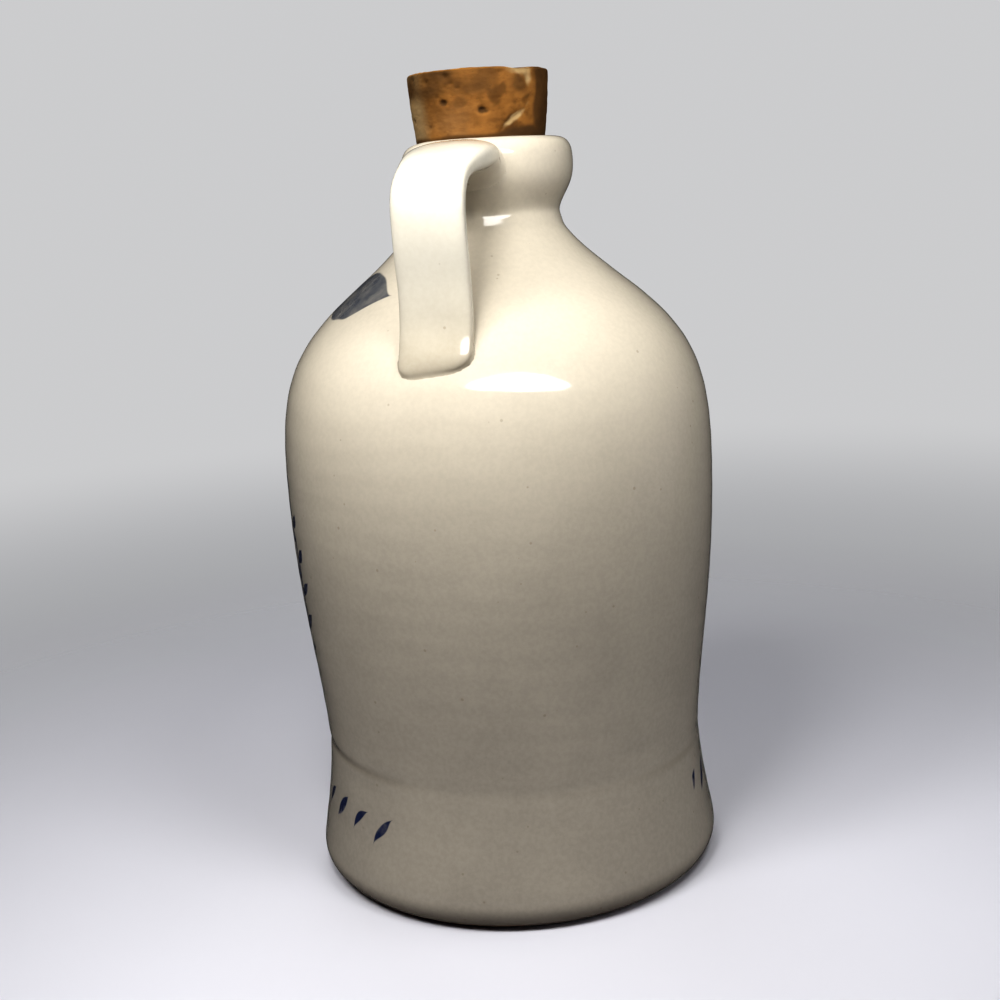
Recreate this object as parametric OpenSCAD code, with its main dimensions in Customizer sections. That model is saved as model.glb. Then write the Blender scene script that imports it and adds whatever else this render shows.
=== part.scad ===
// Stoneware jug with a narrow corked neck and a pulled strap handle.
// The origin is the centre of the base, +Z is up and the handle is on the -Y side.

/* [Body] */
// Widest diameter of the belly
belly_d = 140; // [126:1:160]
// Height of the widest ring of the belly
belly_z = 134; // [115:1:145]
// Diameter of the drawn-in waist
waist_d = 126; // [110:0.2:134]
// Height of the waist
waist_z = 44; // [34:1:60]
// Diameter of the flared foot
foot_d = 135.4; // [126:0.2:150]
// Radius of the rounded edge of the foot
foot_round = 8; // [4:0.5:11]
// Angle by which the foot leans in, and the body out, where they meet at the waist
waist_break = 2.5; // [0:0.5:6]
// Thickness of the side wall
wall = 6; // [4:0.5:8]
// Thickness of the floor
floor_t = 8; // [6:0.5:12]
// Radius of the corner between the wall and the floor inside
inner_corner = 14; // [8:1:20]
// Width of the flat ring that the jug stands on
foot_ring_w = 7; // [5:0.5:12]
// Depth of the hollow inside the foot ring
foot_hollow = 1.5; // [0.5:0.5:3]

/* [Shoulder and neck] */
// Diameter half-way up the straight slope of the shoulder
shoulder_d = 89; // [80:1:96]
// Rise from the belly to the same place
shoulder_rise = 58.5; // [50:0.5:66]
// Angle between that slope and the upright
shoulder_slope = 51; // [46:1:55]
// Outer diameter of the neck at its narrowest
neck_d = 47.8; // [46:0.2:52]
// Rise from half-way up the slope to the narrowest place
neck_rise = 22.5; // [19:0.5:28]

/* [Collar] */
// Diameter of the rolled collar
collar_d = 57.8; // [55:0.2:64]
// Rise from the neck to the widest ring of the collar
collar_rise = 15; // [12:0.5:18]
// Diameter of the crest of the lip
crest_d = 46.6; // [45:0.2:52]
// Rise from the widest ring of the collar to the crest of the lip
lip_rise = 8; // [6:0.5:10]
// Radius of the inside of the lip
lip_round = 2; // [1:0.5:3]

/* [Cork] */
// Diameter of the top of the cork
cork_top_d = 44.4; // [42:0.2:46]
// Diameter of the bottom of the cork
cork_bottom_d = 38; // [36:0.2:40]
// Length of the cork
cork_h = 38; // [30:1:44]
// Length of the cork that stands above the lip
cork_show = 20.6; // [16:0.2:24]
// Radius of the worn edges of the cork
cork_round = 1; // [0.5:0.1:2]
// Gap all round between the cork and its seat
cork_gap = 0.25; // [0.1:0.05:0.4]

/* [Handle] */
// Width of the strap
strap_w = 22; // [16:0.5:28]
// Width of the strap where it is smeared on to the collar
root_w = 28; // [22:0.5:34]
// Thickness of the strap
strap_t = 6.8; // [5:0.2:9]
// Thickness of the strap where it is smeared on to the collar
root_t = 10; // [7:0.5:12]
// Thickness of the strap at its lower tip
tip_t = 5; // [3:0.2:6]
// Distance from the axis of the jug to the outside of the bend
strap_reach = 61.7; // [58:0.1:66]
// Distance that the leg is drawn in from the bend
leg_tuck = 2.3; // [0:0.1:4]
// Depth of the top of the root below the crest of the lip
root_drop = 0.6; // [0.2:0.1:2]
// Drop from the crest of the lip to the outside of the bend
bend_drop = 23; // [18:1:28]
// Drop from there to the innermost place of the leg
leg_drop = 22; // [17:1:26]
// Drop from half-way up the slope of the shoulder to the lower tip
tip_drop = 20.5; // [17:0.5:24]
// Height that the tip stands proud of the shoulder
tip_proud = 1.2; // [0.6:0.1:2]
// Length over which the corners of the tip are rounded off
tip_round = 6; // [3:0.5:9]

/* [Hidden] */
$fn = 144;

// Points along each curved stretch of an outline
curve_steps = 14;
// Rings along the bend, the leg and the tip of the strap
bend_rings = 20;
leg_rings = 9;
tip_rings = 14;
// Points round the strap
strap_sides = 28;
// Squareness of the section of the strap, where 2 is an ellipse
strap_power = 3.2;

// The curves leave and reach their ends straight for these shares of their length
round_share = 0.39;
foot_share = 0.12;
flare_share = 0.5;
waist_share = 0.3;
belly_share = 0.45;
shoulder_share = 0.475;
slope_share = 0.41;
slope_top_share = 0.71;
neck_share = 0.135;
collar_foot_share = 0.25;
collar_share = 0.5;
lip_share = 0.56;
crest_share = 0.42;
root_share = 0.68;
bend_share = 0.3;
leg_share = 0.4;

// Share of the bend along which the root narrows to the strap
root_length_share = 0.6;
// Share of the inner radius of the foot ring over which the hollow deepens
hollow_edge_share = 0.06;

belly_r = belly_d / 2;
waist_r = waist_d / 2;
foot_r = foot_d / 2;
foot_flat_r = foot_r - foot_round;
ring_inner_r = foot_flat_r - foot_ring_w;
shoulder_r = shoulder_d / 2;
neck_r = neck_d / 2;
collar_r = collar_d / 2;
crest_r = crest_d / 2;
shoulder_z = belly_z + shoulder_rise;
neck_z = shoulder_z + neck_rise;
collar_z = neck_z + collar_rise;
jug_h = collar_z + lip_rise;

// Directions in the plane of an outline: distance from the axis, then height
up = [0, 1];
down = [0, -1];
outwards = [1, 0];
inwards = [-1, 0];
waist_in = [-sin(waist_break), cos(waist_break)];
waist_out = [sin(waist_break), cos(waist_break)];
slope_up = [-sin(shoulder_slope), cos(shoulder_slope)];
slope_out = [cos(shoulder_slope), sin(shoulder_slope)];

// The cork is a cone, and its seat is the same cone one gap wider
cork_bottom_z = jug_h + cork_show - cork_h;
cork_top_z = cork_bottom_z + cork_h;
cork_taper = (cork_top_d - cork_bottom_d) / 2 / cork_h;
function cork_r_at(z) = cork_bottom_d / 2 + cork_taper * (z - cork_bottom_z);
function seat_r_at(z) = cork_r_at(z) + cork_gap;
seat_top_z = jug_h - lip_round;
throat_r = seat_r_at(cork_bottom_z);

// A point on the cubic curve with control points a, b, c and d, at t from 0 to 1
function cubic(a, b, c, d, t) =
    pow(1 - t, 3) * a + 3 * t * pow(1 - t, 2) * b + 3 * t * t * (1 - t) * c + pow(t, 3) * d;

// The smooth curve that leaves a along u and reaches b along v. Its inner control points
// lie that way from the ends by the shares su and sv of the distance from a to b. The
// point b is left to the next stretch.
function curve(a, u, su, b, v, sv, steps = curve_steps) =
    let(l = norm(b - a))
    [for (i = [0:steps - 1]) cubic(a, a + su * l * u, b - sv * l * v, b, i / steps)];

// Underside with a shallow hollow inside the foot ring
base_line = [[0, foot_hollow], [ring_inner_r * (1 - hollow_edge_share), foot_hollow], [ring_inner_r, 0]];

// Outside of the jug from the edge of the foot to the crest of the lip
waist_point = [waist_r, waist_z];
belly_point = [belly_r, belly_z];
slope_point = [shoulder_r, shoulder_z];
neck_point = [neck_r, neck_z];
collar_point = [collar_r, collar_z];
crest_point = [crest_r, jug_h];
shoulder_line = curve(belly_point, up, shoulder_share, slope_point, slope_up, slope_share);
outer_line = concat(
    curve([foot_flat_r, 0], outwards, round_share, [foot_r, foot_round], up, round_share),
    curve([foot_r, foot_round], up, foot_share, waist_point, waist_in, flare_share),
    curve(waist_point, waist_out, waist_share, belly_point, up, belly_share),
    shoulder_line,
    curve(slope_point, slope_up, slope_top_share, neck_point, up, neck_share),
    curve(neck_point, up, collar_foot_share, collar_point, up, collar_share),
    curve(collar_point, up, lip_share, crest_point, inwards, crest_share)
);

// Inside of the lip and the conical seat of the cork, down to the throat
seat_point = [seat_r_at(seat_top_z), seat_top_z];
seat_line = concat(
    curve(crest_point, inwards, round_share, seat_point, down, round_share),
    [seat_point, [throat_r, cork_bottom_z]]
);

// Inside of the jug from the throat down to the middle of the floor, one wall inside
inner_neck = neck_point - wall * up + (throat_r - neck_r) * outwards;
inner_slope = slope_point - wall * slope_out;
inner_belly = belly_point - wall * outwards;
inner_waist = waist_point - wall * outwards;
corner_top = [inner_waist[0], floor_t + inner_corner];
corner_end = [inner_waist[0] - inner_corner, floor_t];
inner_line = concat(
    curve(inner_neck, down, neck_share, inner_slope, -slope_up, slope_top_share),
    curve(inner_slope, -slope_up, slope_share, inner_belly, down, shoulder_share),
    curve(inner_belly, down, belly_share, inner_waist, down, waist_share),
    [inner_waist],
    curve(corner_top, down, round_share, corner_end, inwards, round_share),
    [corner_end, [0, floor_t]]
);

// Middle line of the strap, from inside the collar round the bend and down to the tip
root_point = [throat_r, jug_h - root_drop - root_t / 2];
bend_point = [strap_reach - strap_t / 2, jug_h - bend_drop];
leg_point = bend_point - [leg_tuck, leg_drop];
tip_z = shoulder_z - tip_drop;
shoulder_r_at_tip = lookup(tip_z, [for (p = shoulder_line) [p[1], p[0]]]);
tip_point = [shoulder_r_at_tip + tip_proud - tip_t / 2, tip_z];
tip_down = [sin(shoulder_slope / 2), -cos(shoulder_slope / 2)];
strap_line = concat(
    curve(root_point, outwards, root_share, bend_point, down, bend_share, bend_rings),
    curve(bend_point, down, leg_share, leg_point, down, leg_share, leg_rings),
    curve(leg_point, down, leg_share, tip_point, tip_down, leg_share, tip_rings),
    [tip_point]
);
last_ring = len(strap_line) - 1;

// From 0 to 1 with no corner at either end
function ease(t) = (1 - cos(180 * min(max(t, 0), 1))) / 2;

// 0 at the tip, rising as a quarter ellipse to 1 where the rounding of the tip starts
function tip_fill(i) = sqrt(1 - pow(1 - min(norm(strap_line[i] - tip_point) / tip_round, 1), 2));

// Width and thickness of the strap at ring i
function root_fade(i) = ease(i / (bend_rings * root_length_share));
function tip_fade(i) = ease((i - bend_rings - leg_rings) / tip_rings);
function width_at(i) = (root_w + (strap_w - root_w) * root_fade(i)) * (1 + tip_fill(i)) / 2;
function thickness_at(i) =
    (root_t + (strap_t - root_t) * root_fade(i) + (tip_t - strap_t) * tip_fade(i)) * (3 + tip_fill(i)) / 4;

// One ring of the strap: a section with full corners, square to the middle line
function signed_power(x, p) = sign(x) * pow(abs(x), p);
function strap_ring(i) =
    let(before = strap_line[max(i - 1, 0)], after = strap_line[min(i + 1, last_ring)])
    let(along = (after - before) / norm(after - before), across = [-along[1], along[0]])
    [for (k = [0:strap_sides - 1])
        let(a = 360 * k / strap_sides)
        let(x = width_at(i) / 2 * signed_power(cos(a), 2 / strap_power))
        let(p = strap_line[i] + thickness_at(i) / 2 * signed_power(sin(a), 2 / strap_power) * across)
        [x, -p[0], p[1]]];

strap_points = [for (i = [0:last_ring]) each strap_ring(i)];
strap_faces = concat(
    [for (i = [0:last_ring - 1], k = [0:strap_sides - 1])
        let(a = i * strap_sides + k, b = i * strap_sides + (k + 1) % strap_sides)
        each [[a, a + strap_sides, b + strap_sides], [a, b + strap_sides, b]]],
    [[for (k = [0:strap_sides - 1]) k]],
    [[for (k = [0:strap_sides - 1]) last_ring * strap_sides + strap_sides - 1 - k]]
);

// The jug without its inside, to which the roots of the strap are cut
module outer_form() {
    rotate_extrude() polygon(concat([[0, 0]], outer_line, [crest_point, [0, jug_h]]));
}

// Thrown body with its foot, shoulder, neck and rolled collar in one piece
module jug_body() {
    color("ivory")
        rotate_extrude() polygon(concat(base_line, outer_line, seat_line, inner_line));
}

// Pulled strap, luted to the collar and to the shoulder
module strap_handle() {
    color("floralwhite")
        difference() {
            polyhedron(strap_points, strap_faces);
            outer_form();
        }
}

// Tapered cork with worn edges
module cork_stopper() {
    bottom_edge = [cork_r_at(cork_bottom_z + cork_round), cork_bottom_z + cork_round];
    bottom_rim = [bottom_edge[0] - cork_round, cork_bottom_z];
    top_edge = [cork_r_at(cork_top_z - cork_round), cork_top_z - cork_round];
    top_rim = [top_edge[0] - cork_round, cork_top_z];
    color("peru")
        rotate_extrude() polygon(concat(
            [[0, cork_bottom_z]],
            curve(bottom_rim, outwards, round_share, bottom_edge, up, round_share),
            [bottom_edge],
            curve(top_edge, up, round_share, top_rim, inwards, round_share),
            [top_rim, [0, cork_top_z]]
        ));
}

jug_body();
strap_handle();
cork_stopper();
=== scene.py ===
"""Looks of the stoneware jug: glazed body, strap handle, cork and stage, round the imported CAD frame."""

import math

import bpy
import numpy as np
from bpy.props import FloatProperty, FloatVectorProperty, PointerProperty
from mathutils import Matrix, Vector


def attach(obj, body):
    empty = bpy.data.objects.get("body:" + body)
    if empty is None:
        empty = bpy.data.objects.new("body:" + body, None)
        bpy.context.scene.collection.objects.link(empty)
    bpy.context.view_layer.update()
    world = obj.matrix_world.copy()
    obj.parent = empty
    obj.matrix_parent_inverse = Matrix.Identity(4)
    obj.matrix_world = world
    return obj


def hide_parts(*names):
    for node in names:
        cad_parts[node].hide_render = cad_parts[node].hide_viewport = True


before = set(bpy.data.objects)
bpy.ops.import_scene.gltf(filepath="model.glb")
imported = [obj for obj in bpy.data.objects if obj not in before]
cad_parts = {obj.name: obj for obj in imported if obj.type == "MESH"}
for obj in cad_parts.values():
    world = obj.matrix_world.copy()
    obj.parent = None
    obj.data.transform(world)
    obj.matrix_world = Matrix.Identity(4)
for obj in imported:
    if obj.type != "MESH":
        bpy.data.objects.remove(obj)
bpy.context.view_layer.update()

bl_info = {
    "name": "Stoneware Jug",
    "version": (1, 0, 0),
    "blender": (4, 5, 0),
    "location": "3D View > Sidebar > Stoneware Jug",
    "description": "Makes a glazed stoneware jug with a strap handle and a cork round its CAD frame",
    "category": "Add Mesh",
}

MM = 0.001

# Directions in the plane of an outline: distance from the axis, then height
SLOPE = math.radians(51)
LEAN = math.radians(2.5)
UP, DOWN, OUT, IN = (0, 1), (0, -1), (1, 0), (-1, 0)
SLOPE_UP = (-math.sin(SLOPE), math.cos(SLOPE))
SLOPE_DOWN = (math.sin(SLOPE), -math.cos(SLOPE))
WAIST_IN = (-math.sin(LEAN), math.cos(LEAN))
WAIST_OUT = (math.sin(LEAN), math.cos(LEAN))
TIP_DOWN = (math.sin(SLOPE / 2), -math.cos(SLOPE / 2))

# Stretches of the outline in millimetres: start, direction, share, end, direction, share, rows
FOOT_RUNS = (
    ((0, 1.5), OUT, 1 / 3, (49.5, 1.5), OUT, 1 / 3, 6),
    ((49.5, 1.5), OUT, 1 / 3, (52.7, 0), OUT, 1 / 3, 4),
    ((52.7, 0), OUT, 1 / 3, (59.7, 0), OUT, 1 / 3, 3),
)
OUTSIDE_RUNS = (
    ((59.7, 0), OUT, 0.39, (67.7, 8), UP, 0.39, 16),
    ((67.7, 8), UP, 0.12, (63, 44), WAIST_IN, 0.5, 44),
    ((63, 44), WAIST_OUT, 0.3, (70, 134), UP, 0.45, 92),
    ((70, 134), UP, 0.475, (44.5, 192.5), SLOPE_UP, 0.41, 60),
    ((44.5, 192.5), SLOPE_UP, 0.71, (23.9, 215), UP, 0.135, 34),
    ((23.9, 215), UP, 0.25, (28.9, 230), UP, 0.5, 22),
    ((28.9, 230), UP, 0.56, (23.3, 238), IN, 0.42, 20),
)
INSIDE_RUNS = (
    ((23.3, 238), IN, 0.39, (20.55, 236), DOWN, 0.39, 8),
    ((20.55, 236), DOWN, 1 / 3, (19.25, 220.6), DOWN, 1 / 3, 10),
    ((19.25, 220.6), DOWN, 1 / 3, (19.25, 209), DOWN, 1 / 3, 4),
    ((19.25, 209), DOWN, 0.135, (40.724, 187.837), SLOPE_DOWN, 0.71, 16),
    ((40.724, 187.837), SLOPE_DOWN, 0.41, (64, 134), DOWN, 0.475, 24),
    ((64, 134), DOWN, 0.45, (57, 44), DOWN, 0.3, 20),
    ((57, 44), DOWN, 1 / 3, (57, 22), DOWN, 1 / 3, 4),
    ((57, 22), DOWN, 0.39, (43, 8), IN, 0.39, 10),
    ((43, 8), IN, 1 / 3, (0, 8), IN, 1 / 3, 8),
)
LIP_HEIGHT, FLOOR_HEIGHT = 238 * MM, 8 * MM
BODY_COLUMNS = 224

# Marks of the hand on the body in metres, with azimuths in degrees from the handle's side towards +X
WAIST_HEIGHT, WAIST_TILT, WAIST_LINE = 43.4 * MM, 2.5 * MM, 1.3 * MM
RING_STEP, LEAST_MARK = 8.5 * MM, 0.04 * MM
THUMB_AZIMUTH, THUMB_WIDTH, THUMB_START = -84, 31, 220 * MM
# Where the waist line is fainter and where it is deeper: azimuth, width in degrees, share
WAIST_FADED, WAIST_DEEPER = (10, 48, 0.93), (-60, 19, 0.8)
# Ridge low on the neck: height, width up and down, how far it stands out
NECK_RIDGE = (213.1 * MM, 2.8 * MM, 0.3 * MM)
# Soft dents beside the waist line: azimuth, width in degrees, height, width up and down, depth
DENTS = ((58, 9, 50 * MM, 3 * MM, 0.3 * MM), (-38, 12, 40 * MM, 3 * MM, 0.25 * MM))

# Colours in the glaze, in the cork and on the stage. The waist and foot colours are painted shade.
IRON_SPECK = (0.17, 0.12, 0.075)
WAIST_SHADE = (0.14, 0.115, 0.085)
FOOT_SHADE = (0.085, 0.07, 0.052)
WARM_CORK, DARK_CORK = (0.24, 0.115, 0.03), (0.055, 0.026, 0.008)
RUBBED_CORK, GREY_CORK = (0.26, 0.145, 0.06), (0.25, 0.185, 0.1)
PAPER = ((0.69, 0.69, 0.745), (0.72, 0.72, 0.775))
# Glow of the backdrop, painted light from dim near the floor to brighter further away
BACKDROP = ((0.32, 0.322, 0.332), (0.46, 0.461, 0.467))
WARM_LIGHT, COOL_LIGHT, ROOM_LIGHT = (1, 0.99, 0.97), (0.97, 0.98, 1), (0.93, 0.95, 1, 1)

# Bands of painted shade, darker low on the body, near the foot and low on the strap: height from which it
# fades, height at which it is gone, share
SHADE_BANDS = ((95 * MM, 170 * MM, 0.55), (5 * MM, 105 * MM, 0.12))
FOOT_BAND, HANDLE_BAND = (1.5 * MM, 10.5 * MM, 0.8), (170 * MM, 207 * MM, 0.8)

# Brushwork: its middle, the radius of the wall there, how far the hand shook, and its strokes
DECOR_AZIMUTH, DECOR_RADIUS, SHAKE = math.radians(-87), 66 * MM, 5 * MM
STEM_FOOT, STEM_HEIGHT, STEM_BOW, STEM_HALF = 50 * MM, 92 * MM, 33 * MM, 0.8 * MM
STEM_LEAVES, STEM_LEAF_STEP, STEM_LEAF, STEM_LEAF_TURN = 8, 11.5 * MM, (13.5 * MM, 2.3 * MM), 38
FLOWER_HEIGHT, PETALS, PETAL_REACH, FLOWER_RING, FLOWER_DOT = 96 * MM, 5, 12.5 * MM, 3.2 * MM, 1.7 * MM
DABS, DAB_RADIUS, DAB_HEIGHT, DAB_TURN, DAB_WIDTH = 34, 65 * MM, 27.5 * MM, 48, 1.5 * MM
SHOULDER_HEIGHT, SHOULDER_RADIUS, SHOULDER_LEAF = 191.5 * MM, 49 * MM, (47 * MM, 7 * MM)


def curve(start, leave, leave_share, end, reach, reach_share, steps):
    """Cubic curve whose two middle points lie straight on from its start and straight back from its end,
    each by its share of the distance between them."""
    a, u, b, v = (np.array(p, float) for p in (start, leave, end, reach))
    span = np.linalg.norm(b - a)
    t = np.arange(steps)[:, None] / steps
    first, second = a + leave_share * span * u, b - reach_share * span * v
    return (1 - t) ** 3 * a + 3 * t * (1 - t) ** 2 * first + 3 * t * t * (1 - t) * second + t**3 * b


def chain(runs):
    """The curves of a table one after the other, without the last end point, in metres."""
    return np.concatenate([curve(*run) for run in runs]) * MM


def outline_normals(line):
    """Unit normals of an outline that runs up the outside: the tangent turned to the right."""
    along = np.gradient(line, axis=0)
    along /= np.linalg.norm(along, axis=1)[:, None]
    return np.stack([along[:, 1], -along[:, 0]], 1)


def ease(t):
    """0 to 1 along half a cosine wave, level at both ends."""
    return (1 - np.cos(np.pi * np.clip(t, 0, 1))) / 2


def soft_noise(points, size, seed, waves=20):
    """Sum of cosine waves in random directions, about one size long, scaled to roughly -1 to 1."""
    draw = np.random.default_rng(seed)
    way = draw.normal(size=(waves, points.shape[-1]))
    way /= np.linalg.norm(way, axis=1)[:, None]
    way *= 2 * np.pi / size * draw.uniform(0.6, 1.4, (waves, 1))
    phase = draw.uniform(0, 2 * np.pi, waves)
    return np.cos(points @ way.T + phase).sum(-1) / math.sqrt(waves)


def bump_at(distance, width):
    """Bell curve of that width, 1 at no distance."""
    return np.exp(-((distance / width) ** 2))


def turn_gap(azimuth, centre):
    """Angle in degrees from a centre to each azimuth, the short way round."""
    return (azimuth - centre + 180) % 360 - 180


def grid_faces(rows, columns):
    """Four-cornered faces of a grid whose last column meets its first."""
    row, column = np.arange(rows - 1)[:, None] * columns, np.arange(columns)
    a, b = row + column, row + (column + 1) % columns
    return np.stack([a, b, b + columns, a + columns], -1).reshape(-1, 4).tolist()


def fan_faces(pole, first, columns, outwards):
    """Triangles from a pole to a ring of points."""
    a = first + np.arange(columns)
    b = first + (np.arange(columns) + 1) % columns
    ends = (a, b) if outwards else (b, a)
    return np.stack([np.full(columns, pole), *ends], -1).tolist()


def closed_piece(name, rings, start, end, values=None):
    """Piece made of rings of points, closed at both ends by a fan to a point, its faces turned outwards, with
    named values on its points. Each end point takes the mean of its ring."""
    rows, columns = rings.shape[:2]
    points = np.concatenate([rings.reshape(-1, 3), [start, end]])
    faces = grid_faces(rows, columns)
    faces += fan_faces(rows * columns, 0, columns, False)
    faces += fan_faces(rows * columns + 1, (rows - 1) * columns, columns, True)
    mesh = bpy.data.meshes.new(name)
    mesh.from_pydata(points, [], faces)
    if signed_volume(mesh) < 0:
        mesh.flip_normals()
    mesh.polygons.foreach_set("use_smooth", np.ones(len(mesh.polygons), bool))
    for label, spread in (values or {}).items():
        held = mesh.attributes.new(label, "FLOAT", "POINT")
        flat = np.concatenate([spread.reshape(-1), [spread[0].mean(), spread[-1].mean()]])
        held.data.foreach_set("value", flat.astype(np.float32))
    if mesh.validate():
        raise RuntimeError(f"the mesh of {name} has faults")
    mesh.update()
    return linked(name, mesh)


def linked(name, data):
    """New object in the scene."""
    piece = bpy.data.objects.new(name, data)
    bpy.context.scene.collection.objects.link(piece)
    return piece


def signed_volume(mesh):
    """Volume inside the mesh, below zero if its faces point inwards: a sum of tetrahedra to the origin."""
    mesh.calc_loop_triangles()
    corners = np.empty(len(mesh.loop_triangles) * 3, np.int32)
    mesh.loop_triangles.foreach_get("vertices", corners)
    spots = np.empty(len(mesh.vertices) * 3, np.float32)
    mesh.vertices.foreach_get("co", spots)
    a, b, c = spots.reshape(-1, 3)[corners].reshape(-1, 3, 3).transpose(1, 0, 2).astype(float)
    return np.einsum("ij,ij->i", a, np.cross(b, c)).sum() / 6


def on_wire(operation):
    """Method of a wire that does this maths on it."""
    return lambda wire, *others: wire.maths(operation, wire, *others)


class Wire:
    """One output of a node, so that maths on it is written as Python."""

    def __init__(self, finish, socket):
        self.finish, self.socket = finish, socket

    def maths(self, operation, *values):
        return self.finish.add("ShaderNodeMath", {"operation": operation}, dict(enumerate(values)))

    __add__ = __radd__ = on_wire("ADD")
    __mul__ = __rmul__ = on_wire("MULTIPLY")
    __sub__, __truediv__, __pow__ = (on_wire(name) for name in ("SUBTRACT", "DIVIDE", "POWER"))
    __abs__, most = on_wire("ABSOLUTE"), on_wire("MAXIMUM")

    def __rsub__(self, other):
        return self.maths("SUBTRACT", other, self)

    def __neg__(self):
        return self.maths("MULTIPLY", self, -1.0)

    def call(self, operation, *others):
        return self.maths(operation, self, *others)

    def other(self, output):
        """Another output of the same node."""
        return Wire(self.finish, self.socket.node.outputs[output])

    def rise(self, low, high):
        """0 below low, 1 above high, and a smooth step between."""
        settings = {"interpolation_type": "SMOOTHSTEP"}
        return self.finish.add("ShaderNodeMapRange", settings, {0: self, 1: low, 2: high})


class Finish:
    """A material and its nodes."""

    def __init__(self, name):
        self.material = bpy.data.materials.new(name)
        self.material.use_nodes = True
        self.tree = self.material.node_tree
        self.tree.nodes.clear()
        self.place = self.add("ShaderNodeTexCoord", output="Object")

    def add(self, kind, settings=None, sockets=None, output=0):
        """Adds a node: first its settings, then the values or links of its sockets. Gives one of its
        outputs, if it has any."""
        node = self.tree.nodes.new(kind)
        for name, value in (settings or {}).items():
            setattr(node, name, value)
        for key, value in (sockets or {}).items():
            if isinstance(value, Wire):
                self.tree.links.new(value.socket, node.inputs[key])
            else:
                node.inputs[key].default_value = value
        return Wire(self, node.outputs[output]) if node.outputs else None

    def noise(self, scale, detail=2.0, roughness=0.5, place=None, output=0):
        """Soft noise on object coordinates, or on those given."""
        sockets = {"Vector": place or self.place, "Scale": scale, "Detail": detail, "Roughness": roughness}
        return self.add("ShaderNodeTexNoise", {}, sockets, output)

    def cells(self, scale, place=None):
        """Distance to the middle of the nearest of many small cells. The other output is its colour."""
        sockets = {"Vector": place or self.place, "Scale": scale, "Randomness": 1.0}
        return self.add("ShaderNodeTexVoronoi", {}, sockets, "Distance")

    def mix(self, share, first, second):
        """Colour between two others."""
        first, second = (c if isinstance(c, Wire) else (*c, 1) for c in (first, second))
        return self.add("ShaderNodeMix", {"data_type": "RGBA"}, {0: share, 6: first, 7: second}, 2)

    def parts(self, vector):
        """The three numbers of a vector."""
        first = self.add("ShaderNodeSeparateXYZ", {}, {0: vector})
        return [first.other(n) for n in range(3)]

    def from_axis(self):
        """Distance from the axis of the jug."""
        x, y = self.parts(self.place)[:2]
        return (x * x + y * y) ** 0.5

    def mapped(self, scale, turn=(0, 0, 0)):
        """Object coordinates, turned and stretched."""
        return self.add("ShaderNodeMapping", {}, {"Vector": self.place, "Rotation": turn, "Scale": scale})

    def held(self, label):
        """A value that the mesh holds on its points."""
        return self.add("ShaderNodeAttribute", {"attribute_name": label}, {}, "Fac")

    def surface(self, colour, roughness, normal, fixed):
        """Ends the material in one Principled shader. Fixed values stay on its own sockets."""
        sockets = {"Base Color": colour, "Roughness": roughness, "Normal": normal, **fixed}
        shader = self.add("ShaderNodeBsdfPrincipled", {}, sockets)
        self.add("ShaderNodeOutputMaterial", {}, {"Surface": shader})
        return self.material

    def bump(self, height, strength, distance):
        """Normal of a surface with this height on it."""
        sockets = {"Height": height, "Strength": strength, "Distance": distance}
        return self.add("ShaderNodeBump", {}, sockets)


def glazed(finish, cream, shade, painted_shade):
    """Colour, roughness and height of the glaze: cloudy cream, darker by its share of painted shade, with
    fine mottling and a few small iron specks."""
    cloud = finish.noise(26.0, 3.0, 0.55)
    mottle = finish.noise(620.0, 3.0, 0.65).rise(0.3, 0.7)
    colour = finish.mix(cloud.rise(0.3, 0.75) * 0.12 + mottle * 0.1 + painted_shade, cream, shade)
    near = finish.cells(300.0)
    chosen = finish.parts(near.other("Color"))[0].rise(0.8, 1.0)
    speck = (chosen * 0.17 - near).rise(0.0, 0.06) * 0.3
    colour = finish.mix(speck, colour, IRON_SPECK)
    rough = finish.noise(90.0) * 0.04 + 0.065
    skin = finish.noise(150.0) + finish.noise(520.0) * 0.25
    return colour, rough, skin


def faded_up(z, low, high, share):
    """A share that is whole below a height and fades to nothing at another."""
    return (1 - z.rise(low, high)) * share


def glaze_surface(finish, colour, rough, height):
    """Ends a glazed material: a clear, slightly uneven coat."""
    return finish.surface(colour, rough, finish.bump(height, 0.07, 0.35 * MM), {"IOR": 1.5})


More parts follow.
